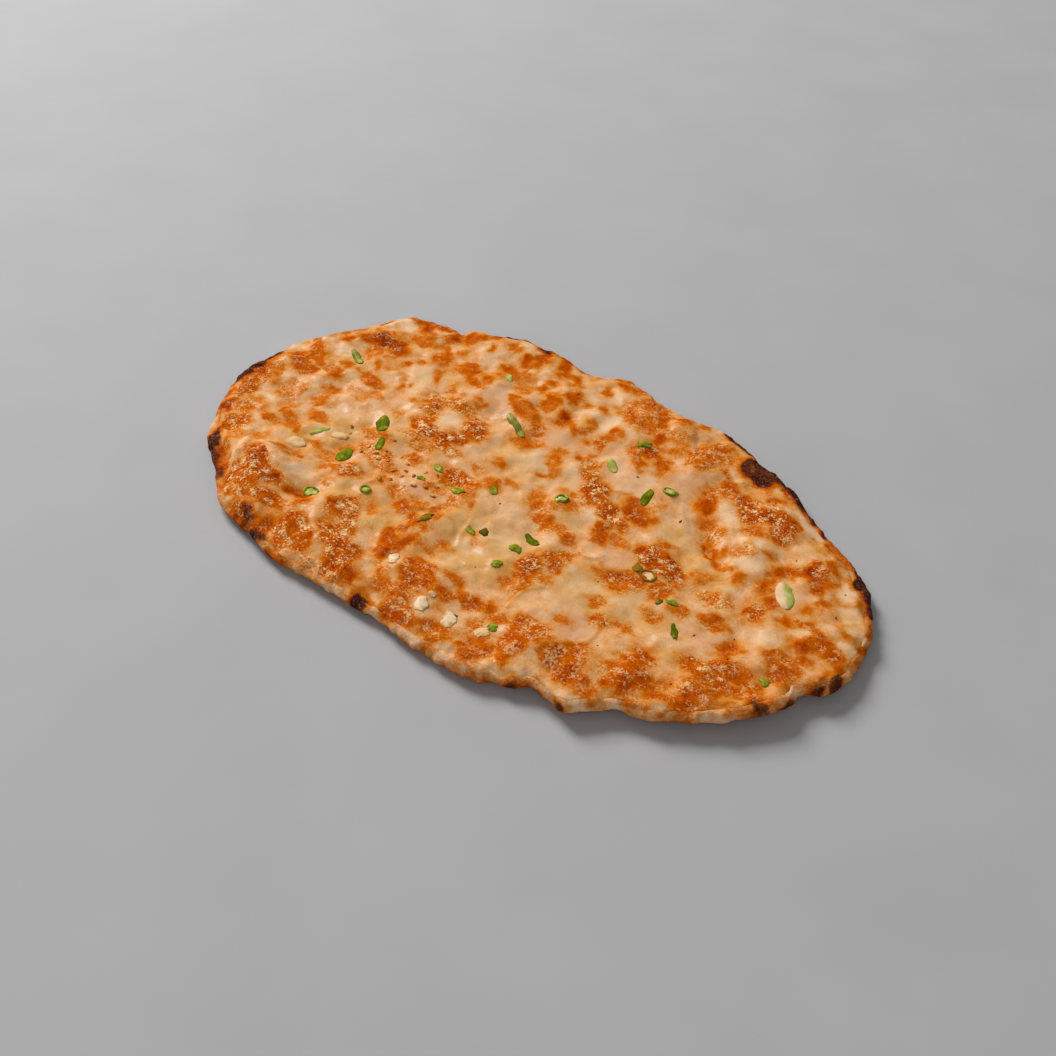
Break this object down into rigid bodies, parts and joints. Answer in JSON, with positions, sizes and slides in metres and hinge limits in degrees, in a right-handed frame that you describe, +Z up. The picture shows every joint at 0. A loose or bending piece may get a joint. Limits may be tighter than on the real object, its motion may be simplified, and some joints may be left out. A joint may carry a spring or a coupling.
{
  "type": "lahmacun",
  "caption": "Oval hand-stretched flatbread with a frilled, partly charred rim, covered with melted browned cheese and scattered cut spring onion.",
  "frame": {"origin": "middle of the plan's bounding box, on the flat underside", "axes": "+X along the oval's length, +Z up out of the topped side"},
  "size_m": [0.2978, 0.1804, 0.0135],
  "materials": {
    "dough": "baked wheat dough: pale cream to tan, browned and in places charred black at the rim, dull and floury",
    "cheese": "melted cheese: cream and pinkish, baked orange to brown in grainy patches with small glossy blisters, slightly oily",
    "green": "cut spring onion, green: moist and slightly glossy",
    "pale_onion": "white to pale green spring onion and onion: moist, slightly see-through",
    "white_cheese": "pieces of white cheese that have kept their shape: soft, off-white"
  },
  "bodies": {
    "root": {"flatbread_dough": "dough", "melted_cheese": "cheese", "scallion_leaf_1": "green", "scallion_leaf_2": "green", "scallion_leaf_3": "green", "scallion_leaf_4": "green", "scallion_leaf_5": "green", "scallion_leaf_6": "green", "scallion_leaf_7": "green", "scallion_leaf_8": "green", "scallion_leaf_9": "green", "scallion_leaf_10": "green", "scallion_ring_1": "green", "scallion_ring_2": "green", "scallion_stalk": "pale_onion", "onion_piece_1": "pale_onion", "onion_piece_2": "pale_onion", "white_cheese_1": "white_cheese", "white_cheese_2": "white_cheese", "white_cheese_3": "white_cheese"}
  },
  "joints": []
}
